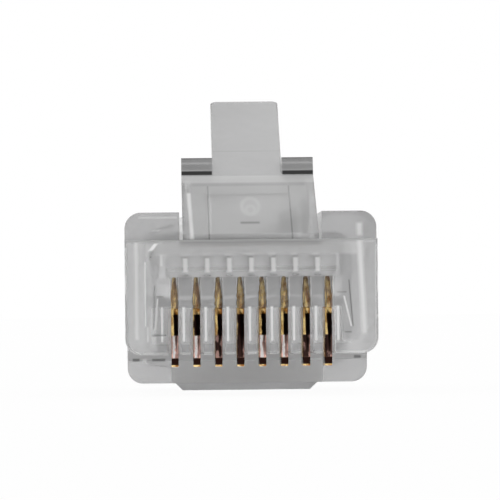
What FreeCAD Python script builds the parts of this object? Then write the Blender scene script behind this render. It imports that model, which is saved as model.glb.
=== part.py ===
import FreeCAD, Part

import os

import Sketcher
from FreeCAD import Placement, Rotation, Vector

# An eight-contact modular plug for round cable, as moulded and not yet crimped.
#
# Frame: +X to the right seen from the mating face, +Y from the mating face back to the
# cable entry, +Z up with the latch on top. The origin lies under the middle of the plug,
# on the surface that it stands on.

# Driving sizes in millimetres. A depth is measured back from the mating face.
SIZES = {
    # Outer form of the housing
    "body_width": 11.68,
    "body_length": 21.46,
    "front_height": 6.6,
    "rear_height": 8.1,
    "step_depth": 12.3,
    "nose_length": 1.2,
    "nose_drop": 1.3,
    "corner_radius": 0.75,
    "edge_radius": 0.2,
    "step_bevel": 0.4,
    # Cable cavity and the funnel that leads the wires forward
    "side_wall": 0.84,
    "roof_wall": 0.85,
    "floor_wall": 0.85,
    "cavity_radius": 0.9,
    "entry_bevel": 0.3,
    "step_wall": 0.5,
    "funnel_depth": 8.2,
    "throat_side": 0.3,
    "funnel_lip": 0.3,
    # Wire channels
    "front_wall": 1.15,
    "wire_ceiling_drop": 1.85,
    "wire_height": 1.08,
    "wire_width": 0.78,
    "fin_gap": 0.22,
    "fin_front_gap": 0.35,
    "ridge_width": 0.24,
    "ridge_height": 0.13,
    # Contacts and the comb of slots that holds them
    "contact_count": 8,
    "contact_row_width": 7.112,
    "contact_thickness": 0.33,
    "contact_depth": 0.8,
    "contact_length": 3.1,
    "contact_height": 4.2,
    "contact_recess": 0.05,
    "contact_corner": 0.45,
    "prong_height": 1.5,
    "prong_width": 0.95,
    "prong_tip": 0.16,
    "prong_land": 0.1,
    "prong_edge": 0.14,
    "prong_bevel_height": 0.9,
    "slot_clearance": 0.03,
    "comb_width": 0.6,
    "comb_height": 2.15,
    "comb_length": 4.9,
    # Latch
    "latch_width": 6.3,
    "tab_width": 3.3,
    "latch_hinge_depth": 0.6,
    "latch_hinge_radius": 0.3,
    "hinge_clearance": 0.03,
    "latch_valley_depth": 7.65,
    "latch_valley_rise": 1.93,
    "shoulder_depth": 8.36,
    "shoulder_rise": 2.74,
    "shoulder_land": 0.3,
    "latch_thickness": 0.85,
    "tab_bend_depth": 9.5,
    "tab_bend_rise": 3.0,
    "tab_end_depth": 14.6,
    "tab_end_rise": 5.73,
    "tab_thickness": 1.0,
    "tab_end_lean": 0.4,
    "tab_corner_radius": 0.3,
    "web_corner_radius": 0.3,
    "web_panel_width": 3.84,
    "web_panel_start": 1.1,
    "web_panel_end": 6.4,
    "web_panel_depth": 0.12,
    "latch_side_gap": 0.15,
    "latch_floor_end": 12.6,
    # Jacket strain relief bar, under the cable cavity
    "jacket_bar_width": 7.1,
    "jacket_bar_front": 14.95,
    "jacket_bar_hinge_depth": 18.8,
    "jacket_bar_hinge_rise": 0.3,
    "jacket_bar_hinge_radius": 0.22,
    "jacket_bar_proud": 0.4,
    "jacket_bar_bevel": 0.4,
    "jacket_bar_front_rise": 1.0,
    "bar_gap": 0.12,
    "bar_front_gap": 0.35,
    # Wire strain relief bar, under the funnel
    "wire_bar_width": 8.9,
    "wire_bar_front": 8.95,
    "wire_bar_top_drop": 3.9,
    "wire_bar_bottom_rise": 0.85,
    "wire_bar_hinge_depth": 11.35,
    "wire_bar_hinge_rise": 0.3,
    "wire_bar_hinge_radius": 0.18,
}


class Size:
    """A length that follows the sheet: its value now and the expression that gives it."""

    def __init__(self, value, text):
        self.value = value
        self.text = text

    def __add__(self, other):
        other = as_size(other)
        return Size(self.value + other.value, f"({self.text} + {other.text})")

    def __sub__(self, other):
        other = as_size(other)
        return Size(self.value - other.value, f"({self.text} - {other.text})")

    def __mul__(self, other):
        other = as_size(other)
        return Size(self.value * other.value, f"{self.text} * {other.text}")

    def __truediv__(self, other):
        other = as_size(other)
        return Size(self.value / other.value, f"{self.text} / {other.text}")

    def __neg__(self):
        return Size(-self.value, f"(0 - {self.text})")


def as_size(number):
    """Give a plain number the form of a Size."""
    if isinstance(number, Size):
        return number
    return Size(number, str(number))


def write_sheet(doc):
    """Put the driving sizes into a sheet and return each one as a Size."""
    sheet = doc.addObject("Spreadsheet::Sheet", "Sizes")
    found = {}
    for row, (name, number) in enumerate(SIZES.items(), start=1):
        sheet.set(f"A{row}", name)
        sheet.set(f"B{row}", str(number))
        sheet.setAlias(f"B{row}", name)
        found[name] = Size(float(number), f"Sizes.{name}")
    doc.recompute()
    return found


doc = FreeCAD.newDocument("ModularPlug")
size = write_sheet(doc)

# Places along the plug and above its base that several pieces share.
LEVEL = as_size(0)
front = -size["body_length"] / 2
back = size["body_length"] / 2
rear_under = size["jacket_bar_proud"]
top = rear_under + size["rear_height"]
front_under = top - size["front_height"]
nose_top = top - size["nose_drop"]
cavity_floor = rear_under + size["floor_wall"]
cavity_roof = top - size["roof_wall"]
cavity_half = size["body_width"] / 2 - size["side_wall"]
wire_ceiling = top - size["wire_ceiling_drop"]
wire_floor = wire_ceiling - size["wire_height"]
contact_spacing = size["contact_row_width"] / (size["contact_count"] - 1)
first_contact = -size["contact_row_width"] / 2
wire_row_width = size["contact_row_width"] + size["wire_width"]
cavity_depth = size["step_depth"] + size["step_wall"]
comb_roof = front_under + size["comb_height"]
blade_top = wire_floor - size["contact_recess"]
blade_bottom = blade_top - size["contact_height"]
blade_shoulder = blade_top - size["prong_height"]


def depth(length):
    """Turn a depth behind the mating face into a place on Y."""
    return front + length


def origin_plane(body, role):
    """Find one of the body's own origin planes."""
    for feature in body.Origin.OriginFeatures:
        if getattr(feature, "Role", "") == role:
            return feature
    raise ValueError(role)


def new_body(label):
    """Start a sub-part under its own label."""
    body = doc.addObject("PartDesign::Body", label)
    body.Label = label
    return body


def sketch_on(body, name, role, offset=None):
    """Attach a sketch to an origin plane, moved along the plane's normal by an offset."""
    sketch = body.newObject("Sketcher::SketchObject", name)
    sketch.AttachmentSupport = [(origin_plane(body, role), "")]
    sketch.MapMode = "FlatFace"
    if offset is not None:
        sketch.AttachmentOffset = Placement(Vector(0, 0, offset.value), Rotation())
        sketch.setExpression("AttachmentOffset.Base.z", offset.text)
    return sketch


def pin_point(sketch, edge, end, place):
    """Hold an edge's end at a place whose two coordinates follow the sheet."""
    for kind, measure in zip(("DistanceX", "DistanceY"), place):
        index = sketch.addConstraint(Sketcher.Constraint(kind, edge, end, measure.value))
        sketch.setExpression(f"Constraints[{index}]", measure.text)


def outline(sketch, corners):
    """Draw a closed outline of straight edges through the corners."""
    corners = [tuple(as_size(part) for part in corner) for corner in corners]
    points = [Vector(x.value, y.value, 0) for x, y in corners]
    first = sketch.GeometryCount
    count = len(points)
    for index in range(count):
        edge = Part.LineSegment(points[index], points[(index + 1) % count])
        sketch.addGeometry(edge)
    for index in range(count):
        following = first + (index + 1) % count
        sketch.addConstraint(Sketcher.Constraint("Coincident", first + index, 2, following, 1))
    for index, corner in enumerate(corners):
        pin_point(sketch, first + index, 1, corner)


def circle(sketch, centre, radius):
    """Draw a circle whose centre and radius follow the sheet."""
    x, y = centre
    place = Vector(x.value, y.value, 0)
    edge = sketch.addGeometry(Part.Circle(place, Vector(0, 0, 1), radius.value))
    pin_point(sketch, edge, 3, centre)
    index = sketch.addConstraint(Sketcher.Constraint("Radius", edge, radius.value))
    sketch.setExpression(f"Constraints[{index}]", radius.text)


def box_corners(left, right, low, high):
    """List the corners of an upright rectangle."""
    return [(left, low), (right, low), (right, high), (left, high)]


def extrude(body, kind, name, sketch, length, midplane=False, flip=False):
    """Add a pad or a pocket of a sketch and recompute it."""
    feature = body.newObject(f"PartDesign::{kind}", name)
    feature.Profile = sketch
    feature.Length = abs(length.value)
    feature.setExpression("Length", length.text)
    if midplane:
        feature.Midplane = True
    feature.Reversed = flip
    sketch.Visibility = False
    doc.recompute()
    return feature


def repeat_along_x(body, name, features, count, pitch):
    """Repeat features at a pitch along X and make the pattern the body's tip."""
    pattern = body.newObject("PartDesign::LinearPattern", name)
    pattern.Originals = features
    pattern.Direction = (origin_plane(body, "X_Axis"), [""])
    pattern.Mode = "Spacing"
    pattern.Occurrences = int(count.value)
    pattern.Offset = pitch.value
    pattern.setExpression("Occurrences", count.text)
    pattern.setExpression("Offset", pitch.text)
    body.Tip = pattern
    doc.recompute()
    return pattern


def edges_where(feature, test):
    """Name the feature's edges that pass a test of their end points."""
    names = []
    for index, edge in enumerate(feature.Shape.Edges, start=1):
        points = [vertex.Point for vertex in edge.Vertexes]
        if len(points) == 2 and test(points[0], points[1]):
            names.append(f"Edge{index}")
    return names


def round_edges(body, name, base, names, radius):
    """Fillet the named edges with a radius from the sheet."""
    fillet = body.newObject("PartDesign::Fillet", name)
    fillet.Base = (base, names)
    fillet.Radius = radius.value
    fillet.setExpression("Radius", radius.text)
    body.Tip = fillet
    doc.recompute()
    return fillet


def near(first, second):
    """Tell whether two places agree to a thousandth of a millimetre."""
    return abs(first - second) < 1e-3


def along_y(low, high):
    """Tell whether an edge runs along Y."""
    return near(low.x, high.x) and near(low.z, high.z)


def along_x(low, high):
    """Tell whether an edge runs along X."""
    return near(low.y, high.y) and near(low.z, high.z)


# Hinge lines that the moulding bends about, each shared by the housing and its arm.
latch_hinge = (depth(size["latch_hinge_depth"]), nose_top)
jacket_hinge = (
    depth(size["jacket_bar_hinge_depth"]),
    rear_under + size["jacket_bar_hinge_rise"],
)
wire_hinge = (
    depth(size["wire_bar_hinge_depth"]),
    front_under + size["wire_bar_hinge_rise"],
)


def housing_form(body):
    """Pad the side outline and round the long corners of the moulding."""
    sketch = sketch_on(body, "SideOutline", "YZ_Plane")
    nose_back = depth(size["nose_length"])
    step = depth(size["step_depth"])
    outline(
        sketch,
        [
            (front, front_under),
            (step - size["step_bevel"], front_under),
            (step, front_under - size["step_bevel"]),
            (step, rear_under),
            (back, rear_under),
            (back, top),
            (nose_back, top),
            (nose_back, nose_top),
            (front, nose_top),
        ],
    )
    form = extrude(body, "Pad", "Moulding", sketch, size["body_width"], midplane=True)

    def long_corner(low, high):
        return along_y(low, high) and not near(low.z, nose_top.value)

    long_edges = edges_where(form, long_corner)
    form = round_edges(body, "LongCorners", form, long_edges, size["corner_radius"])

    def at_front(low, high):
        return near(low.y, front.value) and near(high.y, front.value) and along_x(low, high)

    lips = edges_where(form, at_front)
    return round_edges(body, "FrontLips", form, lips, size["edge_radius"])


def is_inside_rim(feature, name):
    """Tell whether an edge lies on the rim of the cable entry, not on the outer form."""
    middle = feature.getSubObject(name).CenterOfMass
    across = abs(middle.x) < cavity_half.value + 1e-3
    return across and cavity_floor.value - 1e-3 < middle.z < cavity_roof.value + 1e-3


def cut_cable_cavity(body):
    """Open the cable cavity from the rear and funnel it down to the wire row."""
    entry = sketch_on(body, "CavityOutline", "XZ_Plane", -back)
    outline(entry, box_corners(-cavity_half, cavity_half, cavity_floor, cavity_roof))
    length = size["body_length"] - cavity_depth
    cavity = extrude(body, "Pocket", "CableCavity", entry, length, flip=True)

    def cavity_corner(low, high):
        inside = all(abs(abs(point.x) - cavity_half.value) < 1e-3 for point in (low, high))
        levels = (cavity_floor.value, cavity_roof.value)
        return inside and along_y(low, high) and any(near(low.z, level) for level in levels)

    corners = edges_where(cavity, cavity_corner)
    rounded = round_edges(body, "CavityCorners", cavity, corners, size["cavity_radius"])

    def entry_rim(low, high):
        at_back = near(low.y, back.value) and near(high.y, back.value)
        return at_back and all(abs(point.x) < cavity_half.value + 1e-3 for point in (low, high))

    rim = [name for name in edges_where(rounded, entry_rim) if is_inside_rim(rounded, name)]
    bevel = body.newObject("PartDesign::Chamfer", "EntryBevel")
    bevel.Base = (rounded, rim)
    bevel.Size = size["entry_bevel"].value
    bevel.setExpression("Size", size["entry_bevel"].text)
    body.Tip = bevel
    doc.recompute()

    lip = size["funnel_lip"]
    mouth = depth(cavity_depth + lip)
    wide = sketch_on(body, "FunnelMouth", "XZ_Plane", -mouth)
    half = cavity_half - lip
    outline(wide, box_corners(-half, half, cavity_floor + lip, cavity_roof - lip))
    narrow = sketch_on(body, "FunnelThroat", "XZ_Plane", -depth(size["funnel_depth"]))
    half = wire_row_width / 2 + size["throat_side"]
    outline(narrow, box_corners(-half, half, wire_floor, wire_ceiling))
    funnel = body.newObject("PartDesign::SubtractiveLoft", "Funnel")
    funnel.Profile = wide
    funnel.Sections = [narrow]
    funnel.Ruled = True
    wide.Visibility = False
    narrow.Visibility = False
    doc.recompute()


def cut_wire_row(body):
    """Cut the flat wire slot, the channel above each contact and the ridges between."""
    throat = -depth(size["funnel_depth"])
    reach = size["funnel_depth"] - size["front_wall"]
    slot = sketch_on(body, "WireSlotOutline", "XZ_Plane", throat)
    half = wire_row_width / 2
    slot_top = wire_floor + size["fin_gap"]
    outline(slot, box_corners(-half, half, wire_floor, slot_top))
    extrude(body, "Pocket", "WireSlot", slot, reach, flip=True)

    edge = size["wire_width"] / 2
    centre = wire_ceiling - edge
    channel = sketch_on(body, "ChannelOutline", "XZ_Plane", throat)
    sides = (first_contact - edge, first_contact + edge)
    outline(channel, box_corners(sides[0], sides[1], wire_floor, centre))
    cut = extrude(body, "Pocket", "WireChannel", channel, reach, flip=True)
    vault = sketch_on(body, "VaultOutline", "XZ_Plane", throat)
    circle(vault, (first_contact, centre), edge)
    arch = extrude(body, "Pocket", "ChannelVault", vault, reach, flip=True)
    count = size["contact_count"]
    repeat_along_x(body, "WireChannels", [cut, arch], count, contact_spacing)

    # The fins between the channels stop short of the front wall.
    gap = size["fin_front_gap"]
    relief = sketch_on(body, "FinReliefOutline", "XZ_Plane", -depth(size["front_wall"] + gap))
    half = size["contact_row_width"] / 2
    low = wire_floor + size["fin_gap"] / 2
    outline(relief, box_corners(-half, half, low, wire_ceiling - edge / 2))
    extrude(body, "Pocket", "FinRelief", relief, gap, flip=True)

    ridge = sketch_on(body, "RidgeOutline", "XZ_Plane", throat)
    middle = first_contact + contact_spacing / 2
    half = size["ridge_width"] / 2
    sunk = wire_floor - size["ridge_height"]
    peak = wire_floor + size["ridge_height"]
    outline(
        ridge,
        [
            (middle - half, sunk),
            (middle + half, sunk),
            (middle + half, wire_floor),
            (middle, peak),
            (middle - half, wire_floor),
        ],
    )
    # Each ridge runs a little way into the front wall.
    length = reach + size["ridge_height"] / 2
    strip = extrude(body, "Pad", "FloorRidge", ridge, length, flip=True)
    repeat_along_x(body, "FloorRidges", [strip], count - 1, contact_spacing)


def cut_contact_comb(body):
    """Cut the open comb slots and the narrow chamber that guides each contact."""
    comb = sketch_on(body, "CombOutline", "XZ_Plane", -front)
    half = size["comb_width"] / 2
    sides = (first_contact - half, first_contact + half)
    outline(comb, box_corners(sides[0], sides[1], LEVEL, comb_roof))
    slot = extrude(body, "Pocket", "CombSlot", comb, size["comb_length"])

    clearance = size["slot_clearance"]
    chamber = sketch_on(body, "ChamberOutline", "YZ_Plane", first_contact)
    start = depth(size["contact_depth"]) - clearance
    end = depth(size["contact_depth"] + size["contact_length"]) + clearance
    outline(chamber, box_corners(start, end, front_under, wire_floor + size["fin_gap"] / 2))
    width = size["contact_thickness"] + clearance * 2
    guide = extrude(body, "Pocket", "GuideChamber", chamber, width, midplane=True)
    count = size["contact_count"]
    repeat_along_x(body, "ContactComb", [slot, guide], count, contact_spacing)


def cut_latch_bed(body):
    """Cut the bed under the latch and the groove that its root sits in."""
    y, z = latch_hinge
    radius = size["latch_hinge_radius"] + size["hinge_clearance"]
    above = top + size["nose_drop"]
    bed = sketch_on(body, "LatchBedOutline", "YZ_Plane")
    outline(
        bed,
        [
            (y, z - radius),
            (depth(size["latch_floor_end"]), top),
            (depth(size["latch_floor_end"]), above),
            (y, above),
        ],
    )
    width = size["latch_width"] + size["latch_side_gap"] * 2
    extrude(body, "Pocket", "LatchBed", bed, width, midplane=True)
    groove = sketch_on(body, "LatchGroove", "YZ_Plane")
    circle(groove, latch_hinge, radius)
    extrude(body, "Pocket", "LatchHingeGroove", groove, width, midplane=True)


def cut_bar_window(body, name, bar_width, start, hinge, radius, low, high):
    """Cut the window that a strain relief bar swings in, with its hinge groove."""
    width = bar_width + size["bar_gap"] * 2
    window = sketch_on(body, f"{name}WindowOutline", "YZ_Plane")
    outline(window, box_corners(start, hinge[0], low, high))
    extrude(body, "Pocket", f"{name}Window", window, width, midplane=True)
    groove = sketch_on(body, f"{name}Groove", "YZ_Plane")
    circle(groove, hinge, radius + size["hinge_clearance"])
    extrude(body, "Pocket", f"{name}HingeGroove", groove, width, midplane=True)


def build_housing():
    """Model the clear moulded housing."""
    body = new_body("housing")
    housing_form(body)
    cut_cable_cavity(body)
    cut_wire_row(body)
    cut_contact_comb(body)
    cut_latch_bed(body)
    cut_bar_window(
        body,
        "JacketBar",
        size["jacket_bar_width"],
        depth(size["jacket_bar_front"] - size["bar_front_gap"]),
        jacket_hinge,
        size["jacket_bar_hinge_radius"],
        LEVEL,
        cavity_floor + size["floor_wall"],
    )
    cut_bar_window(
        body,
        "WireBar",
        size["wire_bar_width"],
        depth(size["wire_bar_front"] - size["bar_front_gap"]),
        wire_hinge,
        size["wire_bar_hinge_radius"],
        LEVEL,
        wire_floor,
    )
    return body


def cut_web_panel(body, valley):
    """Thin the web of the lever with a shallow panel in its underside."""
    y, z = latch_hinge
    low = z - size["latch_hinge_radius"]
    slope = (valley[1] - size["latch_thickness"] - low) / (valley[0] - y)
    start = size["web_panel_start"]
    end = size["web_panel_end"]
    start_under = low + slope * (start - size["latch_hinge_depth"])
    end_under = low + slope * (end - size["latch_hinge_depth"])
    outside = size["latch_thickness"]
    deep = size["web_panel_depth"]
    panel = sketch_on(body, "PanelOutline", "YZ_Plane")
    outline(
        panel,
        [
            (depth(start), start_under - outside),
            (depth(end), end_under - outside),
            (depth(end), end_under + deep),
            (depth(start), start_under + deep),
        ],
    )
    extrude(body, "Pocket", "WebPanel", panel, size["web_panel_width"], midplane=True)


def build_latch():
    """Model the latch lever: wide root part, locking shoulders and thumb tab."""
    body = new_body("latch_lever")
    y, z = latch_hinge
    radius = size["latch_hinge_radius"]
    valley = (depth(size["latch_valley_depth"]), top + size["latch_valley_rise"])
    shoulder = depth(size["shoulder_depth"])
    bend = (depth(size["tab_bend_depth"]), top + size["tab_bend_rise"])
    end = (depth(size["tab_end_depth"]), top + size["tab_end_rise"])
    thick = size["tab_thickness"]
    side = sketch_on(body, "LeverOutline", "YZ_Plane")
    outline(
        side,
        [
            (y, z - radius),
            (valley[0], valley[1] - size["latch_thickness"]),
            (bend[0] + size["tab_end_lean"] / 2, bend[1] - thick),
            (end[0] + size["tab_end_lean"], end[1] - thick),
            end,
            bend,
            valley,
            (y, z + radius),
        ],
    )
    lever = extrude(body, "Pad", "Lever", side, size["latch_width"], midplane=True)

    def web_underside(low, high):
        span = sorted([low, high], key=lambda point: point.y)
        at_root = near(span[0].y, y.value) and near(span[0].z, (z - radius).value)
        return at_root and near(span[1].y, valley[0].value) and near(low.x, high.x)

    under = edges_where(lever, web_underside)
    round_edges(body, "WebRounding", lever, under, size["web_corner_radius"])
    root = sketch_on(body, "RootOutline", "YZ_Plane")
    circle(root, latch_hinge, radius)
    extrude(body, "Pad", "HingeRoot", root, size["latch_width"], midplane=True)

    half = size["latch_width"] / 2
    neck = size["tab_width"] / 2
    beyond = depth(size["tab_end_depth"] + size["tab_thickness"] + size["tab_end_lean"])
    relief = sketch_on(body, "TabReliefOutline", "XY_Plane")
    outline(relief, box_corners(neck, half, shoulder, beyond))
    outline(relief, box_corners(-half, -neck, shoulder, beyond))
    height = top + size["tab_end_rise"] + size["tab_thickness"]
    extrude(body, "Pocket", "TabRelief", relief, height, flip=True)

    lug = sketch_on(body, "ShoulderOutline", "YZ_Plane")
    crest = top + size["shoulder_rise"]
    inner = valley[1] - size["latch_thickness"] / 2
    outline(
        lug,
        [
            (valley[0], inner),
            (shoulder, inner),
            (shoulder, crest),
            (shoulder - size["shoulder_land"], crest),
            (valley[0], valley[1]),
        ],
    )
    extrude(body, "Pad", "Shoulders", lug, size["latch_width"], midplane=True)
    passage = sketch_on(body, "PassageOutline", "YZ_Plane")
    slope = (bend[1] - valley[1]) / (bend[0] - valley[0])
    behind = shoulder + size["shoulder_land"]
    outline(
        passage,
        [
            valley,
            (behind, valley[1] + slope * (behind - valley[0])),
            (behind, crest + size["shoulder_land"]),
            (valley[0], crest + size["shoulder_land"]),
        ],
    )
    extrude(body, "Pocket", "TabPassage", passage, size["tab_width"], midplane=True)

    def tab_corner(low, high):
        upright = near(abs(low.x), neck.value) and near(low.x, high.x)
        last = depth(size["tab_end_depth"]).value - 1e-3
        spans = abs(low.z - high.z) > size["tab_thickness"].value / 2
        return upright and spans and low.y > last and high.y > last

    tip = body.Tip
    round_edges(body, "TabCorners", tip, edges_where(tip, tab_corner), size["tab_corner_radius"])
    cut_web_panel(body, valley)
    return body


def build_jacket_bar():
    """Model the bar that the crimp folds up against the cable jacket."""
    body = new_body("jacket_strain_relief")
    y, z = jacket_hinge
    radius = size["jacket_bar_hinge_radius"]
    start = depth(size["jacket_bar_front"])
    bevel = size["jacket_bar_bevel"]
    side = sketch_on(body, "BarOutline", "YZ_Plane")
    outline(
        side,
        [
            (y, z - radius / 2),
            (y - bevel, LEVEL),
            (start + bevel, LEVEL),
            (start, bevel),
            (start, z + size["jacket_bar_front_rise"]),
            (y, z + radius / 2),
        ],
    )
    extrude(body, "Pad", "Bar", side, size["jacket_bar_width"], midplane=True)
    root = sketch_on(body, "RootOutline", "YZ_Plane")
    circle(root, jacket_hinge, radius)
    extrude(body, "Pad", "HingeRoot", root, size["jacket_bar_width"], midplane=True)
    half = size["jacket_bar_width"] / 2
    ends = sketch_on(body, "EndBevels", "XZ_Plane", -start)
    outline(ends, [(half - bevel, LEVEL), (half, LEVEL), (half, bevel)])
    outline(ends, [(-half, LEVEL), (bevel - half, LEVEL), (-half, bevel)])
    extrude(body, "Pocket", "BevelCuts", ends, y - start)
    return body


def build_wire_bar():
    """Model the bar that the crimp folds up against the separate wires."""
    body = new_body("wire_strain_relief")
    y, z = wire_hinge
    radius = size["wire_bar_hinge_radius"]
    start = depth(size["wire_bar_front"])
    high = top - size["wire_bar_top_drop"]
    low = front_under + size["wire_bar_bottom_rise"]
    side = sketch_on(body, "BarOutline", "YZ_Plane")
    neck = radius / 2
    outline(side, [(y, z - neck), (start, low), (start, high), (y, z + neck)])
    extrude(body, "Pad", "Bar", side, size["wire_bar_width"], midplane=True)
    root = sketch_on(body, "RootOutline", "YZ_Plane")
    circle(root, wire_hinge, radius)
    extrude(body, "Pad", "HingeRoot", root, size["wire_bar_width"], midplane=True)
    return body


def sharpen_prongs(body):
    """Bevel both faces of the prongs so that their tips pierce the wires."""
    half = size["contact_thickness"] / 2
    edge = size["prong_edge"] / 2
    foot = blade_top - size["prong_bevel_height"]
    cuts = sketch_on(body, "ProngBevels", "XZ_Plane", -depth(size["contact_depth"]))
    outline(cuts, [(half, foot), (half, blade_top), (edge, blade_top)])
    outline(cuts, [(-half, foot), (-edge, blade_top), (-half, blade_top)])
    extrude(body, "Pocket", "ProngSharpening", cuts, size["contact_length"])


def build_contact(number):
    """Model one stamped contact: spring-wire edge below, two piercing prongs above."""
    body = new_body(f"contact_{number}")
    start = depth(size["contact_depth"])
    end = start + size["contact_length"]
    land = size["prong_land"]
    width = size["prong_width"]
    tip = size["prong_tip"]
    side = sketch_on(body, "BladeOutline", "YZ_Plane")
    outline(
        side,
        [
            (start, blade_bottom),
            (end, blade_bottom),
            (end, blade_shoulder),
            (end - land, blade_shoulder),
            (end - land - (width - tip) / 2, blade_top),
            (end - land - (width + tip) / 2, blade_top),
            (end - land - width, blade_shoulder),
            (start + land + width, blade_shoulder),
            (start + land + (width + tip) / 2, blade_top),
            (start + land + (width - tip) / 2, blade_top),
            (start + land, blade_shoulder),
            (start, blade_shoulder),
        ],
    )
    blade = extrude(body, "Pad", "Blade", side, size["contact_thickness"], midplane=True)

    def lower_corner(low, high):
        across = along_x(low, high) and not near(low.x, high.x)
        return across and near(low.z, blade_bottom.value)

    corners = edges_where(blade, lower_corner)
    round_edges(body, "ContactCorners", blade, corners, size["contact_corner"])
    sharpen_prongs(body)
    place = first_contact + contact_spacing * (number - 1)
    body.setExpression("Placement.Base.x", place.text)
    return body


def check_document(bodies):
    """Stop if any object failed or any sub-part isn't one valid solid."""
    doc.recompute()
    for item in doc.Objects:
        if "Invalid" in item.State or "Error" in item.State:
            raise RuntimeError(f"{item.Label} failed: {item.State}")
    for body in bodies:
        shape = body.Shape
        if shape.isNull() or not shape.isValid():
            raise RuntimeError(f"{body.Label} has no valid shape")
        if len(shape.Solids) != 1:
            raise RuntimeError(f"{body.Label} has {len(shape.Solids)} solids")


def write_steps(bodies):
    """Write each sub-part to a STEP file under its label."""
    os.makedirs("parts", exist_ok=True)
    for body in bodies:
        body.Shape.exportStep(f"parts/{body.Label}.step")
        box = body.Shape.BoundBox
        print(f"{body.Label}: volume {body.Shape.Volume:.3f}, Z {box.ZMin:.3f} to {box.ZMax:.3f}")


def build_plug():
    """Build, check and write every sub-part."""
    bodies = [build_housing(), build_latch(), build_jacket_bar(), build_wire_bar()]
    for number in range(1, int(size["contact_count"].value) + 1):
        bodies.append(build_contact(number))
    check_document(bodies)
    write_steps(bodies)


build_plug()
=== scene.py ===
import logging
import math
from collections.abc import Sequence
from dataclasses import dataclass, field
from enum import Enum
from functools import reduce
from operator import mul
from typing import Any

import bmesh
import bpy
from mathutils import Euler, Matrix, Vector


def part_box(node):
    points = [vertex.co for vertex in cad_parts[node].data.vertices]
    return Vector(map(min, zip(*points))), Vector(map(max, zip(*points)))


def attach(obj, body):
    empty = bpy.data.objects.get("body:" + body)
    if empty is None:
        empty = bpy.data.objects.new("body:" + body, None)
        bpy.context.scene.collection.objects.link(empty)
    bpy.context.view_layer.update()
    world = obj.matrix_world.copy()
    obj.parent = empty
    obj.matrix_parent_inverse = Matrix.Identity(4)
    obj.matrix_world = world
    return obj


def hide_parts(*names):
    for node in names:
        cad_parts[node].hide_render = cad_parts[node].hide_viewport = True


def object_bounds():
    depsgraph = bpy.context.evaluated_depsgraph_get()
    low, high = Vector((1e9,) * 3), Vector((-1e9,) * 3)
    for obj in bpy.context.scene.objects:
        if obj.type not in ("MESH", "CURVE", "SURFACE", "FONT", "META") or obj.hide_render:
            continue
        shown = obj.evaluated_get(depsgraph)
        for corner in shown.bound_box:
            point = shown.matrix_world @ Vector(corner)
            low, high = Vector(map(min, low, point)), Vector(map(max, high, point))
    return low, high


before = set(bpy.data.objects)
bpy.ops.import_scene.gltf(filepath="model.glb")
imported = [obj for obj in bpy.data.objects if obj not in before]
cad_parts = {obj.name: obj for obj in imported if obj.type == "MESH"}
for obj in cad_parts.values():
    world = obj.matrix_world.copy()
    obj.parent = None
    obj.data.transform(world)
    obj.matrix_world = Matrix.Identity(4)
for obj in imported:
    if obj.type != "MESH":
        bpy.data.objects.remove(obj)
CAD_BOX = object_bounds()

logging.basicConfig(level=logging.INFO, format="%(name)s: %(message)s")
LOG = logging.getLogger("modular_plug")

Range = tuple[float, float]
Colour = tuple[float, float, float, float]
Point = tuple[float, float, float]

MM = 0.001
WHITE: Colour = (1.0, 1.0, 1.0, 1.0)

# Millimetres: the contacts' spacing, half the row's width, and the housing's own edges
PITCH = 1.016
ROW_HALF = 4.2
HOUSING_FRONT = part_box("housing")[0][1] / MM
HOUSING_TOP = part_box("housing")[1][2] / MM
STEP_TOP = HOUSING_TOP - 6.3
COMB_TOP = HOUSING_TOP - 4.5

# Corners closer than this, in metres, are one, and faces that turn less than this are flat
WELD = 1e-7
FLAT = math.radians(0.5)

# How far a face's normal has to point along an axis to count as square to it, or as leaning to it
SQUARE_ON = 0.9
LEANING = 0.3


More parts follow.
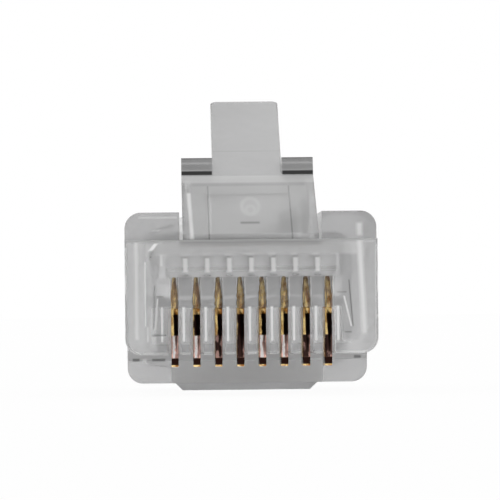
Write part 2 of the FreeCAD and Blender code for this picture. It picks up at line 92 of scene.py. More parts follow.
class Signal:
    """A shader socket that takes part in Python arithmetic.

    Args:
        tree: the node tree that new Math nodes go into.
        socket: the output socket that carries the value.
    """

    def __init__(self, tree: bpy.types.NodeTree, socket: bpy.types.NodeSocket) -> None:
        self.tree = tree
        self.socket = socket

    def _math(self, operation: str, *values: "Signal | float") -> "Signal":
        """Add a Math node over the values and return its output."""
        maths = self.tree.nodes.new("ShaderNodeMath")
        maths.operation = operation
        for port, value in zip(maths.inputs, values):
            if isinstance(value, Signal):
                self.tree.links.new(value.socket, port)
            else:
                port.default_value = float(value)
        return Signal(self.tree, maths.outputs[0])

    def __add__(self, other: "Signal | float") -> "Signal":
        """Add."""
        return self._math("ADD", self, other)

    def __sub__(self, other: "Signal | float") -> "Signal":
        """Subtract."""
        return self._math("SUBTRACT", self, other)

    def __rsub__(self, other: "Signal | float") -> "Signal":
        """Subtract from a number."""
        return self._math("SUBTRACT", other, self)

    def __mul__(self, other: "Signal | float") -> "Signal":
        """Multiply."""
        return self._math("MULTIPLY", self, other)

    def clamp(self) -> "Signal":
        """Hold the value between zero and one."""
        return self._math("MINIMUM", self._math("MAXIMUM", self, 0.0), 1.0)

    def size(self) -> "Signal":
        """Drop the sign."""
        return self._math("ABSOLUTE", self)

    def power(self, exponent: float) -> "Signal":
        """Raise to a power."""
        return self._math("POWER", self, exponent)

    def wrap(self, pitch: float) -> "Signal":
        """Give the distance from the middle of the pitch that the value falls in."""
        return self._math("WRAP", self, pitch, 0.0) - pitch / 2

    def rise(self, start: float, end: float) -> "Signal":
        """Go smoothly from zero at the start to one at the end."""
        step = self.tree.nodes.new("ShaderNodeMapRange")
        step.interpolation_type = "SMOOTHSTEP"
        self.tree.links.new(self.socket, step.inputs["Value"])
        step.inputs["From Min"].default_value = start
        step.inputs["From Max"].default_value = end
        return Signal(self.tree, step.outputs["Result"])

    def between(self, low: float, high: float, soft: float) -> "Signal":
        """Be one between two values and fade to zero beyond them."""
        past = self.rise(high - soft, high + soft)
        return self.rise(low - soft, low + soft) * (1.0 - past)


class Bench:
    """Builds one material's node tree.

    Args:
        name: the material's name.
    """

    def __init__(self, name: str) -> None:
        self.material = bpy.data.materials.new(name)
        self.material.use_nodes = True
        self.tree = self.material.node_tree
        self.tree.nodes.clear()

    def node(
        self, kind: str, settings: dict[str, Any] | None = None, **sockets: Any
    ) -> bpy.types.Node:
        """Add a node.

        Args:
            kind: the node's type without the ShaderNode prefix.
            settings: properties that are set before the sockets are filled.
            sockets: values, Signals or sockets, by socket name with underscores for spaces.

        Returns:
            The new node.
        """
        made = self.tree.nodes.new("ShaderNode" + kind)
        for name, value in (settings or {}).items():
            setattr(made, name, value)
        for name, value in sockets.items():
            self.feed(made.inputs[name.replace("_", " ")], value)
        return made

    def feed(self, port: bpy.types.NodeSocket, value: Any) -> None:
        """Link or set one input."""
        if isinstance(value, Signal):
            self.tree.links.new(value.socket, port)
        elif isinstance(value, bpy.types.NodeSocket):
            self.tree.links.new(value, port)
        else:
            port.default_value = value

    def signal(self, node: bpy.types.Node, output: str | int = 0) -> Signal:
        """Wrap a node's output."""
        return Signal(self.tree, node.outputs[output])

    def axes(self, place: bpy.types.NodeSocket) -> tuple[Signal, Signal, Signal]:
        """Split a place into its three coordinates."""
        parts = self.node("SeparateXYZ", Vector=place)
        return self.signal(parts, "X"), self.signal(parts, "Y"), self.signal(parts, "Z")

    def finish(self, shader: bpy.types.NodeSocket) -> bpy.types.Material:
        """Join the shader to the output and return the material."""
        output = self.tree.nodes.new("ShaderNodeOutputMaterial")
        self.tree.links.new(shader, output.inputs["Surface"])
        return self.material


def in_sight(tree: bpy.types.NodeTree) -> Signal:
    """Give one on rays that are seen straight, through clear faces or in a gloss, else zero."""
    path = tree.nodes.new("ShaderNodeLightPath")
    straight, through, gloss = (
        Signal(tree, path.outputs[f"Is {kind} Ray"]) for kind in ("Camera", "Transmission", "Glossy")
    )
    return (straight + through + gloss).clamp()


ANYWHERE: Range = (-100.0, 100.0)


class Across(Enum):
    """How a mark is laid out across the plug."""

    ONCE = "at its own place"
    MIRRORED = "on both sides alike"
    PER_CONTACT = "beside every contact"
    PER_GAP = "between every two contacts"


@dataclass(frozen=True)
class Mark:
    """A patch of the moulding that looks lighter or darker than the rest, often a painted highlight or
    painted shade.

    Ranges are in millimetres, in the plug's frame, with Y measured back from the mating
    face and Z up from the top of the housing.

    Args:
        x, y, z: where the patch is.
        share: how much of the matt bloom covers the clear resin there.
        tone: how light the bloom is there.
        polish: how rough the clear resin is there, or None to leave it as it is.
        soft: how far the patch's edges fade.
        lean: how far X moves for each step up, on a slanted patch.
        across: how the patch is laid out across the plug.
    """

    x: Range = ANYWHERE
    y: Range = ANYWHERE
    z: Range = ANYWHERE
    share: float = 0.5
    tone: float = 0.9
    polish: float | None = None
    soft: float = 0.04
    lean: float = 0.0
    across: Across = Across.ONCE

    def mask(self, x: Signal, y: Signal, z: Signal) -> Signal:
        """Give one inside the patch and zero outside it."""
        limits = []
        if self.lean:
            x = x - (z - sum(self.z) / 2) * self.lean
        if self.across is Across.MIRRORED:
            x = x.size()
        elif self.across is Across.PER_CONTACT:
            limits.append(x.between(-ROW_HALF, ROW_HALF, self.soft))
            x = x.wrap(PITCH)
        elif self.across is Across.PER_GAP:
            limits.append(x.between(PITCH / 2 - ROW_HALF, ROW_HALF - PITCH / 2, self.soft))
            x = (x + PITCH / 2).wrap(PITCH)
        for value, span in ((x, self.x), (y, self.y), (z, self.z)):
            if span != ANYWHERE:
                limits.append(value.between(*span, self.soft))
        return reduce(mul, limits)


@dataclass(frozen=True)
class Ring:
    """A round mould mark whose outline faces the mating side.

    Args:
        centre: its place across and up from the top of the housing, in millimetres.
        radius: the middle of its outline.
        width: how broad the outline is.
        share, tone, polish, soft: as on a Mark.
    """

    centre: Range
    radius: float
    width: float
    share: float = 0.5
    tone: float = 0.9
    polish: float | None = None
    soft: float = 0.06

    def mask(self, x: Signal, y: Signal, z: Signal) -> Signal:
        """Give one on the ring and zero off it."""
        across, up = x - self.centre[0], z - self.centre[1]
        away = (across.power(2.0) + up.power(2.0)).power(0.5)
        half = self.width / 2
        return away.between(self.radius - half, self.radius + half, self.soft)


@dataclass(frozen=True)
class ClearResin:
    """Clear moulded polycarbonate: a tinted glass under a thin matt bloom.

    Args:
        name: the material's name.
        tint: how light the clear resin is.
        share: how much of the bloom covers it.
        tone: how light the bloom is.
        polish: how rough the clear resin is.
        refraction: its index, low because the light passes many walls.
        ripple_scale, ripple_height, ripple_depth: the flow marks' fineness and height.
        cloud_scale, cloud_spread: the bloom's fineness and how unevenly it lies.
        mottle: how much the bloom's tone varies.
        coat, coat_polish: the strength and roughness of the outer gloss.
        bloom_polish: how rough the bloom is.
        blueness: how much more blue than red the tint has.
        marks: patches that look different, among them painted highlights and shade, later ones over
            earlier ones.
    """

    name: str
    tint: float
    share: float
    tone: float
    polish: float = 0.1
    refraction: float = 1.25
    ripple_scale: float = 900.0
    ripple_height: float = 0.04
    ripple_depth: float = 0.1 * MM
    cloud_scale: float = 400.0
    cloud_spread: float = 0.3
    mottle: float = 0.05
    coat: float = 0.5
    coat_polish: float = 0.05
    bloom_polish: float = 0.35
    blueness: float = 1.005
    marks: tuple[Mark | Ring, ...] = ()

    def material(self) -> bpy.types.Material:
        """Make the resin's material."""
        bench = Bench(self.name)
        place = bench.node("TexCoord").outputs["Object"]
        x, y, z = (part * (1 / MM) for part in bench.axes(place))
        y = y - HOUSING_FRONT
        z = z - HOUSING_TOP
        noise = bench.node("TexNoise", Vector=place, Scale=self.cloud_scale, Detail=5.0)
        cloud = bench.signal(noise, "Fac")
        share = cloud * (self.share * self.cloud_spread) + self.share * (1 - self.cloud_spread / 2)
        tone = cloud * self.mottle + (self.tone - self.mottle / 2)
        polish: Signal | float = self.polish
        for mark in self.marks:
            mask = mark.mask(x, y, z)
            share = share + mask * (mark.share - share)
            tone = tone + mask * (mark.tone - tone)
            if mark.polish is not None:
                polish = mask * (mark.polish - polish) + polish
        clear, matt = self._layers(bench, place, tone.clamp(), polish)
        mix = bench.node("MixShader", Fac=share.clamp())
        bench.feed(mix.inputs[1], clear)
        bench.feed(mix.inputs[2], matt)
        return bench.finish(mix.outputs["Shader"])

    def _layers(
        self, bench: Bench, place: bpy.types.NodeSocket, tone: Signal, polish: Signal | float
    ) -> tuple[bpy.types.NodeSocket, bpy.types.NodeSocket]:
        """Make the clear layer and the matt layer."""
        flow = bench.node("TexNoise", Vector=place, Scale=self.ripple_scale, Detail=3.0)
        bump = bench.node(
            "Bump",
            Strength=self.ripple_height,
            Distance=self.ripple_depth,
            Height=flow.outputs["Fac"],
        )
        clear = bench.node(
            "BsdfPrincipled",
            Base_Color=(self.tint, self.tint, min(self.tint * self.blueness, 1.0), 1.0),
            Roughness=polish,
            IOR=self.refraction,
            Transmission_Weight=1.0,
            Coat_Weight=self.coat,
            Coat_Roughness=self.coat_polish,
            Normal=bump.outputs["Normal"],
        )
        matt = bench.node(
            "BsdfPrincipled",
            Base_Color=tone,
            Roughness=self.bloom_polish,
            Normal=bump.outputs["Normal"],
        )
        return clear.outputs["BSDF"], matt.outputs["BSDF"]


FACE_MARKS = (
    # Painted light over the ribs, and the bloom over the solid block between the contacts
    Mark((-4.6, 4.6), ANYWHERE, (-6.15, -4.4), 0.25, 0.6, soft=0.12),
    Mark((-0.34, 0.34), ANYWHERE, (-4.42, -2.95), 0.74, 0.22, soft=0.08, across=Across.PER_GAP),
    Mark((-4.9, 4.9), ANYWHERE, (-4.36, -3.9), 0.6, 0.34, soft=0.08),
    Mark((4.2, 4.95), ANYWHERE, (-6.0, -2.0), 0.6, 0.34, soft=0.15),
    # Clear windows before the contacts' prongs
    Mark(
        (-0.2, 0.2), ANYWHERE, (-4.5, -3.04), 0.03, 0.5, 0.03, soft=0.03, across=Across.PER_CONTACT
    ),
    # The bottom edge
    Mark(ANYWHERE, ANYWHERE, (-6.7, -6.12), 0.5, 0.42, soft=0.05),
    # Painted highlights on the ribs beside the contacts
    Mark((0.35, 0.48), ANYWHERE, (-6.0, -4.4), 0.85, 0.95, soft=0.05, across=Across.PER_CONTACT),
    # Painted light on the ends of the fins between the wire channels, and painted shade at their feet
    Mark((-3.9, 3.9), ANYWHERE, (-2.72, -2.58), 0.4, 0.26, soft=0.05),
    Mark((-3.9, 3.9), ANYWHERE, (-3.02, -2.80), 0.6, 0.40, soft=0.04),
    Mark((-0.11, 0.11), ANYWHERE, (-2.80, -2.14), 0.85, 0.8, soft=0.06, across=Across.PER_GAP),
    Mark((-0.14, 0.14), ANYWHERE, (-2.98, -2.90), 0.45, 0.20, soft=0.05, across=Across.PER_GAP),
    # Bloom under the nose
    Mark((-4.9, 4.9), ANYWHERE, (-2.0, -1.4), 0.62, 0.55, soft=0.1),
    # Painted highlights where the side roundings start
    Mark((-5.40, -5.22), ANYWHERE, (-5.9, -1.3), 0.7, 0.78, soft=0.08),
    Mark((4.97, 5.20), ANYWHERE, (-5.7, -0.9), 0.75, 0.84, soft=0.1, lean=-0.05),
    # The left inner wall: a wavering painted highlight along its edge, painted shade beside it and a
    # painted glint at its head
    Mark((-4.93, -4.87), ANYWHERE, (-5.3, -2.3), 0.8, 0.95, soft=0.03),
    Mark((-4.84, -4.76), ANYWHERE, (-6.0, -5.3), 0.5, 0.8),
    Mark((-4.70, -4.58), ANYWHERE, (-2.2, -1.8), 0.5, 0.2, soft=0.1, lean=0.4),
    Mark((-4.62, -4.42), ANYWHERE, (-1.80, -1.46), 1.0, 1.0, soft=0.06, lean=0.8),
    Mark((-4.20, -4.10), ANYWHERE, (-2.5, -1.4), 0.5, 0.7),
    # Painted light and dark lines for the pocket's slanted edges on both sides
    Mark((-4.43, -4.37), ANYWHERE, (-5.45, -4.0), 0.7, 0.85, soft=0.03, lean=0.09),
    Mark((-4.52, -4.47), ANYWHERE, (-5.4, -3.4), 0.6, 0.12, soft=0.03, lean=0.03),
    Mark((4.55, 4.60), ANYWHERE, (-5.35, -3.2), 0.85, 0.05, soft=0.03, lean=-0.08),
    Mark((4.38, 4.46), ANYWHERE, (-5.35, -3.95), 0.7, 0.85, soft=0.03, lean=-0.23),
    # Painted shade in short dark lines at the pocket's ends
    Mark((-4.40, -4.06), ANYWHERE, (-3.92, -3.87), 0.8, 0.1, soft=0.04),
    Mark((-4.62, -3.95), ANYWHERE, (-5.72, -5.66), 0.8, 0.1, soft=0.04),
    Mark((3.92, 4.38), ANYWHERE, (-3.80, -3.74), 0.8, 0.1, soft=0.04),
    Mark((4.26, 4.60), ANYWHERE, (-5.64, -5.58), 0.8, 0.1, soft=0.04),
)
SLOT_MARKS = (
    # Clear fronts and bloomed sides of the contacts' slots
    Mark(
        (-0.22, 0.22), (0.6, 0.95), (-4.6, -3.0), 0.03, 0.5, 0.03, soft=0.02, across=Across.PER_CONTACT
    ),
)
SKIN_MARKS = SLOT_MARKS + (
    # Bloom over the ledge behind the nose and over the step under the plug, with a painted glint near
    # the step's left end
    Mark(ANYWHERE, (0.9, 1.5), (-1.4, 0.3), 0.5, 0.32),
    Mark(ANYWHERE, (11.7, 12.6), (-8.5, -6.5), 0.45, 0.42),
    Mark((-3.7, 3.7), (11.7, 12.6), (-8.5, -7.0), 0.85, 0.92, soft=0.05),
    Mark(ANYWHERE, (11.7, 12.28), (-7.02, -6.5), 0.85, 0.56, soft=0.03),
    Mark((-5.1, -4.9), (11.7, 12.6), (-7.1, -6.9), 0.9, 1.0, soft=0.06),
    # The rounding over the mating face is duller than the rest
    Mark(ANYWHERE, (-0.1, 0.35), (-1.6, -1.2), 0.85, 0.38, soft=0.03),
    # Painted highlights in streaks on the ledge behind the nose
    Mark((-5.2, -3.4), (0.9, 1.5), (-0.28, -0.2), 0.5, 0.62, soft=0.05),
    Mark((-4.55, -4.2), (0.9, 1.5), (-0.86, -0.8), 0.7, 0.85, soft=0.05, lean=1.5),
    Mark((4.92, 5.18), (0.9, 1.5), (-1.15, -0.55), 0.75, 0.9, soft=0.1),
    # Painted shade in short dark lines over the step's corners
    Mark((-5.6, -5.25), (11.7, 12.6), (-7.02, -6.88), 0.85, 0.06, soft=0.05),
    Mark((-4.65, -4.0), (11.7, 12.6), (-7.03, -6.90), 0.85, 0.06, soft=0.05),
    Mark((5.2, 5.55), (11.7, 12.6), (-6.95, -6.80), 0.85, 0.06, soft=0.05),
)
INNER_MARKS = SLOT_MARKS + (
    # Painted light on the ends of the fins between the wire channels, as a white matt layer
    Mark((-0.14, 0.14), (1.2, 1.6), (-2.8, -2.05), 0.9, 0.9, across=Across.PER_GAP),
)
EDGE_MARKS = (
    # The edge at the nose is duller than the rest
    Mark(ANYWHERE, (-0.1, 1.5), (-1.5, -1.1), 0.75, 0.44),
    # The edge over the ledge is darker
    Mark(ANYWHERE, (0.9, 1.5), (-0.12, 0.1), 0.7, 0.28),
)
LEVER_MARKS = (
    # Bloom over the web
    Mark((-2.7, 2.75), ANYWHERE, (-1.4, 1.5), 0.62, 0.45, soft=0.08),
    # Painted shade over the shoulders with a mottled band, a painted dark line along their foot and
    # painted light below it
    Mark((1.68, 4), ANYWHERE, (2.14, 3.0), 0.75, 0.28, across=Across.MIRRORED),
    Mark((1.68, 4), ANYWHERE, (2.42, 2.52), 0.5, 0.36, soft=0.05, across=Across.MIRRORED),
    Mark((1.68, 4), ANYWHERE, (2.69, 2.9), 0.75, 0.14, soft=0.02, across=Across.MIRRORED),
    Mark((1.68, 4), ANYWHERE, (1.90, 2.10), 0.98, 0.0, soft=0.03, across=Across.MIRRORED),
    Mark(ANYWHERE, ANYWHERE, (1.50, 1.86), 0.55, 0.62, soft=0.05),
    # Painted dark and light lines along the thin panel's edges
    Mark((1.89, 1.95), ANYWHERE, (-1.3, 1.35), 0.5, 0.2, across=Across.MIRRORED),
    Mark((-1.86, -1.78), ANYWHERE, (-1.3, 0.9), 0.45, 0.62),
    # Painted highlights along the rounded left edge, and a lighter patch on the right
    Mark((-2.86, -2.68), ANYWHERE, (-1.3, 1.0), 0.8, 0.8, soft=0.06, lean=-0.05),
    Mark((2.2, 2.35), ANYWHERE, (-1.2, 0.2), 0.5, 0.62, soft=0.08, lean=0.06),
    # A painted dark line where the web meets the band
    Mark((-2.7, 2.7), ANYWHERE, (1.34, 1.46), 0.6, 0.33, soft=0.08),
    # Mould marks on the web, drawn as two lighter rings with a painted shadow below them
    Mark((-0.45, 0.45), ANYWHERE, (-0.55, -0.45), 0.75, 0.08, soft=0.06),
    Ring((0.05, 0.30), 0.40, 0.10, 0.5, 0.68, soft=0.1),
    Ring((0.05, 0.12), 0.2, 0.08, 0.5, 0.68, soft=0.1),
    # Painted shade along the crease where the tab leaves the shoulder
    Mark((-1.7, 1.7), ANYWHERE, (3.09, 3.13), 0.5, 0.34, soft=0.03),
)
FACE = ClearResin("clear_face", 0.78, 0.44, 0.42, marks=FACE_MARKS)
SKIN = ClearResin("clear_skin", 0.76, 0.26, 0.54, marks=SKIN_MARKS)
INNER = ClearResin("clear_inner", 0.98, 0.3, 0.95, polish=0.5, marks=INNER_MARKS)
# The housing's roundings are lighter than its skin: painted highlights along its edges
EDGE = ClearResin("clear_edge", 0.85, 0.4, 0.74, marks=EDGE_MARKS)
LEVER = ClearResin(
    "clear_lever", 0.74, 0.45, 0.45, polish=0.25, refraction=1.12, marks=LEVER_MARKS
)
BAR = ClearResin("clear_bar", 0.92, 0.5, 0.92, polish=0.3)
COMB = ClearResin("clear_comb", 0.98, 0.1, 0.95, refraction=1.01, coat=0.0)


@dataclass(frozen=True)
class GoldPlate:
    """Gold flash over stamped bronze and a rubbed, coppery foot, with painted glints and painted
    shade.

    Lengths are in millimetres, with heights measured up from the top of the housing.

    Args:
        name: the material's name.
        gold, bronze, rubbed, silver, shade: the colours of the plating, of the bronze where the
        plating wears through and where shade is painted on the blades, of the foot, of its painted
        glints and of the painted shade.
        gloss, gloss_spread: how rough the metal is and how unevenly.
        grain_scale, grain_squash: the grain's fineness and how much it is drawn out upright.
        grain_shift: how far the grain moves the tones across a blade.
        worn_grain, shaded_side: where in the grain the plating wears away, and where across a blade
            the
        painted shade on its right side begins.
        glint_grain, glint_side: where in the grain and across a blade the foot glints.
        dark_side: where across a blade the band's painted shade starts.
        lit_grain, lit_side: where in the grain and across a blade a dark foot is lighter.
        fleck_grain: where in the grain a bright foot has dark flecks.
        face: where the blades' front faces end, back from the mating face.
        groove, foot, end: the heights of the band of painted shade, the rubbed foot and the
        blade's end, which is painted in shade.
        broad: stretches across the row where the band's painted shade is broader.
        broader: by how much.
        blur, end_blur, broad_blur, pair_blur: how far the stretches, the end, the broad
            stretches and the pairs of blades fade into what is beside them.
    """

    name: str = "gold_plate"
    gold: Colour = (1.0, 0.74, 0.32, 1.0)
    bronze: Colour = (0.36, 0.15, 0.03, 1.0)
    rubbed: Colour = (0.84, 0.52, 0.45, 1.0)
    glint_colour: Colour = (1.0, 0.97, 0.95, 1.0)
    shade: Colour = (0.02, 0.008, 0.006, 1.0)
    gloss: float = 0.2
    gloss_spread: float = 0.3
    grain_scale: float = 4200.0
    grain_squash: float = 0.45
    grain_shift: float = 0.24
    worn_grain: Range = (0.44, 0.56)
    shaded_side: Range = (-0.04, 0.12)
    glint_grain: Range = (0.36, 0.44)
    glint_side: Range = (-0.10, 0.02)
    dark_side: Range = (-0.07, -0.03)
    lit_grain: Range = (0.52, 0.6)
    lit_side: Range = (0.06, 0.14)
    fleck_grain: Range = (0.42, 0.6)
    face: Range = (0.84, 0.9)
    shade_band: Range = (-5.72, -4.74)
    foot: Range = (-6.76, -5.72)
    end: float = -7.08
    broad: tuple[Range, Range] = ((-2.9, -2.2), (-0.9, -0.1))
    broader: float = 0.09
    blur: float = 0.03
    end_blur: float = 0.02
    broad_blur: float = 0.05
    pair_blur: float = 0.01

    def material(self) -> bpy.types.Material:
        """Make the plating's material."""
        bench = Bench(self.name)
        place = bench.node("TexCoord").outputs["Object"]
        x, y, z = (part * (1 / MM) for part in bench.axes(place))
        z = z - HOUSING_TOP
        ahead = 1.0 - y.rise(*(HOUSING_FRONT + depth for depth in self.face))
        grain = self._grain(bench, place)
        local = x.wrap(PITCH) + grain * self.grain_shift - self.grain_shift / 2
        in_foot = z.between(*self.foot, self.blur)
        paired = self._paired(x)
        # The plating wears away at random with the grain; the bronze also paints shade on each blade's
        # right side, leaving a painted gold highlight on its left
        wear_and_shade = (grain.rise(*self.worn_grain) * 0.7 + local.rise(*self.shaded_side) * 0.5).clamp()
        # Painted glints: white patches on the feet of two blades in every four
        glint = local.between(*self.glint_side, self.blur) * grain.rise(*self.glint_grain)
        bright = in_foot * paired * glint * ahead
        dark = self._shadow(x, z, grain, local, in_foot, paired, bright) * ahead
        # Painted shade over the blade's end below the foot
        dark = (dark + z.between(self.end, self.foot[0], self.end_blur)).clamp()
        colour = self._blend(bench, self.gold, self.bronze, wear_and_shade)
        colour = self._blend(bench, colour, self.rubbed, in_foot * ahead)
        colour = self._blend(bench, colour, self.glint_colour, bright)
        colour = self._blend(bench, colour, self.shade, dark)
        metal = bench.node(
            "BsdfPrincipled",
            Base_Color=colour,
            Roughness=(grain * self.gloss_spread + (self.gloss - self.gloss_spread / 2)).clamp(),
            Metallic=1.0 - bright,
        )
        return bench.finish(metal.outputs["BSDF"])

    def _grain(self, bench: Bench, place: bpy.types.NodeSocket) -> Signal:
        """Make the plating's grain."""
        stretch = bench.node("Mapping", Vector=place, Scale=(1.0, 1.0, self.grain_squash))
        noise = bench.node(
            "TexNoise", Vector=stretch.outputs[0], Scale=self.grain_scale, Detail=4.0
        )
        return bench.signal(noise, "Fac")

    def _paired(self, x: Signal) -> Signal:
        """Give one on two blades of every four, whose feet catch the light."""
        away = (x + PITCH).wrap(4 * PITCH).size()
        return 1.0 - away.rise(PITCH - self.pair_blur, PITCH + self.pair_blur)

    def _shadow(
        self,
        x: Signal,
        z: Signal,
        grain: Signal,
        local: Signal,
        in_foot: Signal,
        paired: Signal,
        bright: Signal,
    ) -> Signal:
        """Give how dark the painted shade on the band and on the feet is.

        Args:
            x, z: the place across and up.
            grain: the plating's grain.
            local: the place across one blade, moved by the grain.
            in_foot: one on the foot.
            paired: one on the blades whose feet catch the light.
            bright: one on the glints.

        Returns:
            The share of the dark colour.
        """
        # Painted shade on each blade's right side in the band, broader over two stretches of the row
        first, second = (x.between(*span, self.broad_blur) for span in self.broad)
        side = (local + (first + second) * self.broader).rise(*self.dark_side)
        shade_band = z.between(*self.shade_band, self.blur) * side
        # Painted shade over the feet of the blades without glints, lighter at random and toward their
        # right side
        plain = 0.98 - grain.rise(*self.lit_grain) * 0.4 - local.rise(*self.lit_side) * 0.3
        foot = in_foot * (1.0 - paired) * plain
        flecks = in_foot * paired * (1.0 - bright) * grain.rise(*self.fleck_grain) * 0.5
        return shade_band + foot + flecks

    def _blend(
        self, bench: Bench, first: Colour | bpy.types.NodeSocket, second: Colour, share: Signal
    ) -> bpy.types.NodeSocket:
        """Mix two colours by a share of the second."""
        mix = bench.node("Mix", {"data_type": "RGBA"}, Factor=share)
        bench.feed(mix.inputs[6], first)
        bench.feed(mix.inputs[7], second)
        return mix.outputs[2]


def merged_copy(node: str, name: str) -> bpy.types.Object:
    """Copy a node's mesh with its loose triangles merged into one skin.

    Args:
        node: the node to copy.
        name: the new piece's name.

    Returns:
        The new object, with its place in its mesh.
    """
    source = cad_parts[node]
    skin = bmesh.new()
    skin.from_mesh(source.data)
    bmesh.ops.remove_doubles(skin, verts=skin.verts, dist=WELD)
    bmesh.ops.dissolve_limit(
        skin,
        angle_limit=FLAT,
        verts=skin.verts,
        edges=skin.edges,
        use_dissolve_boundaries=False,
    )
    mesh = bpy.data.meshes.new(name)
    skin.to_mesh(mesh)
    skin.free()
    piece = bpy.data.objects.new(name, mesh)
    bpy.context.scene.collection.objects.link(piece)
    return piece


def soften(
    piece: bpy.types.Object, width: float, segments: int = 3, angle: float = 35.0
) -> None:
    """Round a piece's sharp edges as a mould does and shade it smooth.

    Args:
        piece: the object to finish.
        width: the radius of the rounding, in metres.
        segments: the faces across each rounding.
        angle: the least angle, in degrees, at which an edge counts as sharp.
    """
    bevel = piece.modifiers.new("Mould radius", "BEVEL")
    bevel.width = width
    bevel.segments = segments
    bevel.limit_method = "ANGLE"
    bevel.angle_limit = math.radians(angle)
    bevel.harden_normals = True
    piece.data.shade_smooth()


class Coat(Enum):
    """The finishes of a moulded piece, in the order of its material slots."""

    BODY = 0
    INNER = 1
    EDGE = 2
    FACE = 3
    COMB = 4


@dataclass
class Moulding:
    """The housing and the arms moulded in one with it.

    Args:
        edge: the radius of the mould's edges.
        wall: how deep a face has to lie to be inside the moulding.
        front_wall: how far back the mating face's finish reaches.
        comb: how far back the fins between the contacts reach.
    """

    edge: float = 0.06 * MM
    wall: float = 0.7 * MM
    front_wall: float = 1.0 * MM
    comb: float = 4.9 * MM

    def build(self) -> list[bpy.types.Object]:
        """Dress the housing, latch lever and strain relief bars."""
        skin = SKIN.material()
        inner = INNER.material()
        edge = EDGE.material()
        face = FACE.material()
        comb = COMB.material()
        made = []
        for node, body, finishes in (
            ("housing", "body", (skin, inner, edge, face, comb)),
            ("latch_lever", "latch", (LEVER.material(),)),
            ("jacket_strain_relief", "jacket_bar", (BAR.material(),)),
            ("wire_strain_relief", "wire_bar", (inner,)),
        ):
            piece = merged_copy(node, node + "_skin")
            for material in finishes:
                piece.data.materials.append(material)
            soften(piece, self.edge)
            if node == "housing":
                self._share_out(piece)
                # The roundings take the lighter finish, painted highlights along the edges
                piece.modifiers["Mould radius"].material = Coat.EDGE.value
            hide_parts(node)
            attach(piece, body)
            made.append(piece)
        return made

    def _share_out(self, piece: bpy.types.Object) -> None:
        """Give the mating face and the faces inside the moulding their own finishes."""
        low, high = (Vector(corner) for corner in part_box("housing"))
        for part in piece.data.polygons:
            spot = part.center
            back = spot.y - low.y
            deep_x = min(spot.x - low.x, high.x - spot.x) > self.wall
            deep_z = min(spot.z - low.z, high.z - spot.z) > self.wall
            step = part.normal.y < -LEANING and spot.z < STEP_TOP * MM
            fin = abs(part.normal.x) > SQUARE_ON and spot.z < COMB_TOP * MM and back < self.comb
            if part.normal.y < -SQUARE_ON and back < self.front_wall:
                part.material_index = Coat.FACE.value
            elif deep_x and fin:
                part.material_index = Coat.COMB.value
            elif deep_x and deep_z and not step and back > self.front_wall:
                part.material_index = Coat.INNER.value


@dataclass
class ContactRow:
    """The eight stamped contacts."""

    count: int = 8
    finish: GoldPlate = field(default_factory=GoldPlate)
    edge: float = 0.03 * MM

    def build(self) -> list[bpy.types.Object]:
        """Dress each contact."""
        metal = self.finish.material()
        made = []
        for number in range(1, self.count + 1):
            piece = merged_copy(f"contact_{number}", f"blade_{number}")
            soften(piece, self.edge, 2)
            piece.data.materials.append(metal)
            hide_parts(f"contact_{number}")
            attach(piece, f"blade_{number}")
            made.append(piece)
        return made


@dataclass(frozen=True)
class Lamp:
    """A soft square lamp that faces the plug.

    Args:
        name: the lamp's name.
        place: where it hangs, in metres.
        size: the length of its side, in metres.
        power: its power, in watts.
        aim: the point that it faces.
    """

    name: str
    place: Point
    size: float
    power: float
    aim: Point = (0.0, 0.0, 0.006)

    def build(self) -> None:
        """Hang the lamp."""
        light = bpy.data.lights.new(self.name, "AREA")
        light.shape = "SQUARE"
        light.size = self.size
        light.energy = self.power
        lamp = bpy.data.objects.new(self.name, light)
        lamp.location = self.place
        way = Vector(self.aim) - Vector(self.place)
        lamp.rotation_euler = way.to_track_quat("-Z", "Y").to_euler()
        lamp.visible_diffuse = False
        bpy.context.scene.collection.objects.link(lamp)


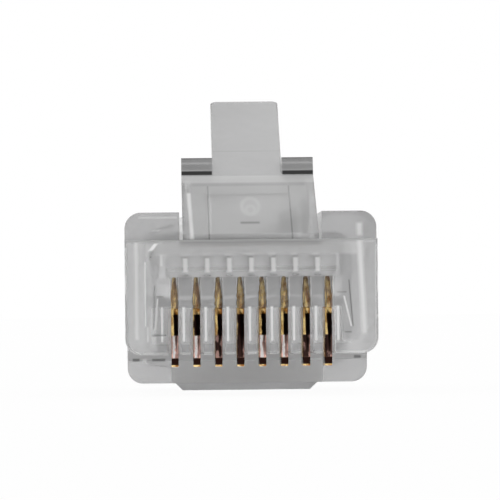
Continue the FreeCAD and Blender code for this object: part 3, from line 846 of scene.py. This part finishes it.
@dataclass
class Studio:
    """A pale floor, a white backdrop and soft lights.

    Args:
        floor_grey: how light the floor is.
        floor_size: half the floor's side, in metres.
        floor_glow: how much of the floor's shading is left out where it is seen.
        room_grey: how strongly the room lights, against the white that is seen.
        flag_place, flag_size: the middle and half the side of the black card.
        flag_grey: how light the card is.
        lamps: the lights.
    """

    floor_grey: float = 0.9
    floor_size: float = 3.0
    floor_glow: float = 0.95
    room_grey: float = 0.95
    flag_place: Point = (0.0, -0.30, 0.0)
    flag_size: float = 0.12
    flag_grey: float = 0.01
    lamps: tuple[Lamp, ...] = (
        Lamp("key", (-0.10, -0.16, 0.16), 0.10, 0.004),
        Lamp("fill", (0.14, -0.12, 0.08), 0.08, 0.0024),
        Lamp("top", (0.0, 0.02, 0.20), 0.12, 0.0032),
    )

    def build(self) -> None:
        """Set up the floor, the world and the lights."""
        self._world()
        self._floor()
        for lamp in self.lamps:
            lamp.build()
        self._flag()

    def _world(self) -> None:
        """Make the world white where it is seen and softer where it only lights."""
        world = bpy.data.worlds.new("studio")
        bpy.context.scene.world = world
        world.use_nodes = True
        tree = world.node_tree
        tree.nodes.clear()
        strength = in_sight(tree) * (1.0 - self.room_grey) + self.room_grey
        sky = tree.nodes.new("ShaderNodeBackground")
        sky.inputs["Color"].default_value = WHITE
        tree.links.new(strength.socket, sky.inputs["Strength"])
        output = tree.nodes.new("ShaderNodeOutputWorld")
        tree.links.new(sky.outputs["Background"], output.inputs["Surface"])

    def _floor(self) -> None:
        """Lay the floor under the plug."""
        bench = Bench("pale_floor")
        matt = self._matt(bench, self.floor_grey)
        glow = bench.node("Emission", Color=WHITE, Strength=1.0)
        mix = bench.node("MixShader", Fac=in_sight(bench.tree) * self.floor_glow)
        bench.feed(mix.inputs[1], matt)
        bench.feed(mix.inputs[2], glow.outputs[0])
        self._card("floor", self.floor_size, Matrix(), bench.finish(mix.outputs[0]))

    def _flag(self) -> None:
        """Hang a black card facing the plug, for dark reflections, out of the view."""
        bench = Bench("front_flag")
        black = bench.finish(self._matt(bench, self.flag_grey))
        upright = Matrix.Translation(self.flag_place) @ Matrix.Rotation(math.radians(90), 4, "X")
        self._card("front_flag", self.flag_size, upright, black).visible_camera = False

    def _matt(self, bench: Bench, grey: float) -> bpy.types.NodeSocket:
        """Make a matt grey shader."""
        return bench.node("BsdfDiffuse", Color=(grey, grey, grey, 1.0)).outputs[0]

    def _card(
        self, name: str, size: float, place: Matrix, material: bpy.types.Material
    ) -> bpy.types.Object:
        """Make a flat square piece of the studio.

        Args:
            name: the piece's name.
            size: half its side, in metres.
            place: its place and turn.
            material: its finish.

        Returns:
            The new object.
        """
        shape = bmesh.new()
        bmesh.ops.create_grid(shape, x_segments=1, y_segments=1, size=size, matrix=place)
        mesh = bpy.data.meshes.new(name)
        shape.to_mesh(mesh)
        shape.free()
        card = bpy.data.objects.new(name, mesh)
        bpy.context.scene.collection.objects.link(card)
        card.data.materials.append(material)
        return card


@dataclass
class Viewpoint:
    """The camera, close to level in front of the mating face.

    Args:
        distance: how far it stands from the mating face, in metres.
        side: how far it stands to the right of the plug's middle.
        drop: how far it stands below the top of the housing.
        yaw, pitch, roll: its turns to the right, up and about its own axis, in degrees.
        angle: the width of its view, in degrees.
        near: the nearest distance that it sees.
    """

    distance: float = 205 * MM
    side: float = -4.11 * MM
    drop: float = 4.596 * MM
    yaw: float = 1.133
    pitch: float = 0.782
    roll: float = 0.6
    angle: float = 6.43
    near: float = 1 * MM

    def build(self) -> None:
        """Place the camera."""
        lens = bpy.data.cameras.new("view")
        lens.sensor_fit = "HORIZONTAL"
        lens.angle = math.radians(self.angle)
        lens.clip_start = self.near
        camera = bpy.data.objects.new("view", lens)
        front = CAD_BOX[0][1]
        camera.location = (self.side, front - self.distance, HOUSING_TOP * MM - self.drop)
        aim = Euler((math.radians(90 + self.pitch), 0, math.radians(-self.yaw)), "XYZ").to_matrix()
        tilt = Matrix.Rotation(math.radians(-self.roll), 3, "Z")
        camera.rotation_euler = (aim @ tilt).to_euler()
        bpy.context.scene.collection.objects.link(camera)
        bpy.context.scene.camera = camera


def main() -> None:
    """Build the studio, the moulding, the contacts and the view."""
    bpy.context.scene.view_settings.view_transform = "Standard"
    for maker in (Moulding(), ContactRow()):
        for piece in maker.build():
            LOG.info("%s: %d faces", piece.name, len(piece.data.polygons))
    Studio().build()
    Viewpoint().build()


if __name__ == "__main__":
    main()
